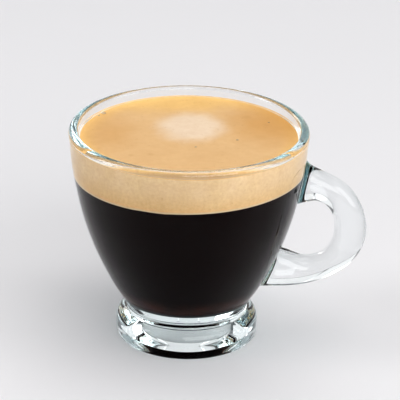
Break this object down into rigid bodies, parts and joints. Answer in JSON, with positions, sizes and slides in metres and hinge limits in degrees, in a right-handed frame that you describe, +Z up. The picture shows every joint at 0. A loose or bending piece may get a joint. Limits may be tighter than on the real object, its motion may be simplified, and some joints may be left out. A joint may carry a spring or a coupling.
{
  "type": "double espresso in a glass cup",
  "caption": "Double espresso with a thick foam layer in a footed clear glass cup with a ring handle.",
  "frame": {"origin": "under the middle of the whole, on the plane of the ring that the foot stands on; the axis of the cup stands 8.3 mm to -X of it", "axes": "+Z up, parallel to the axis of the cup, +X towards the handle"},
  "size_m": [0.0826, 0.066, 0.0615],
  "materials": {
    "glass_cup": "clear thick glass, polished",
    "coffee": null,
    "crema": null
  },
  "bodies": {
    "root": {"glass_cup": "glass_cup", "coffee": "coffee", "crema": "crema"}
  },
  "joints": []
}
